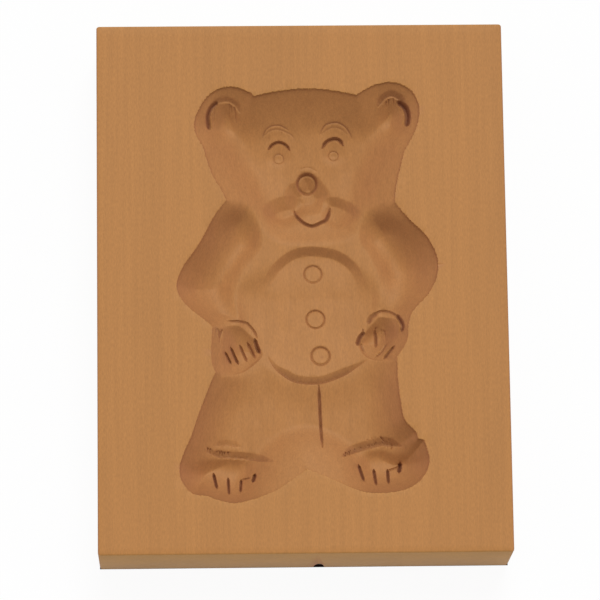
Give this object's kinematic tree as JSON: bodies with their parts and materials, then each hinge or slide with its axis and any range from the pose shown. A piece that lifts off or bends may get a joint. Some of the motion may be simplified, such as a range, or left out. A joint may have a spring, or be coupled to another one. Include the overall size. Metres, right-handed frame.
{
  "type": "springerle mould",
  "caption": "Carved wooden biscuit mould: a thick rectangular board with a standing bear hollowed into its face, for pressing picture biscuits.",
  "frame": {"origin": "centre of the flat back face, on which the mould lies", "axes": "+Z out of the carved face, +Y from the bear's feet to its ears along the grain, +X to the right seen from the carved side"},
  "size_m": [0.11, 0.145, 0.024],
  "materials": {
    "planed_wood": "planed and unvarnished, with knife and gouge cuts in the hollow"
  },
  "bodies": {
    "root": {"mould_board": "planed_wood"}
  },
  "joints": []
}
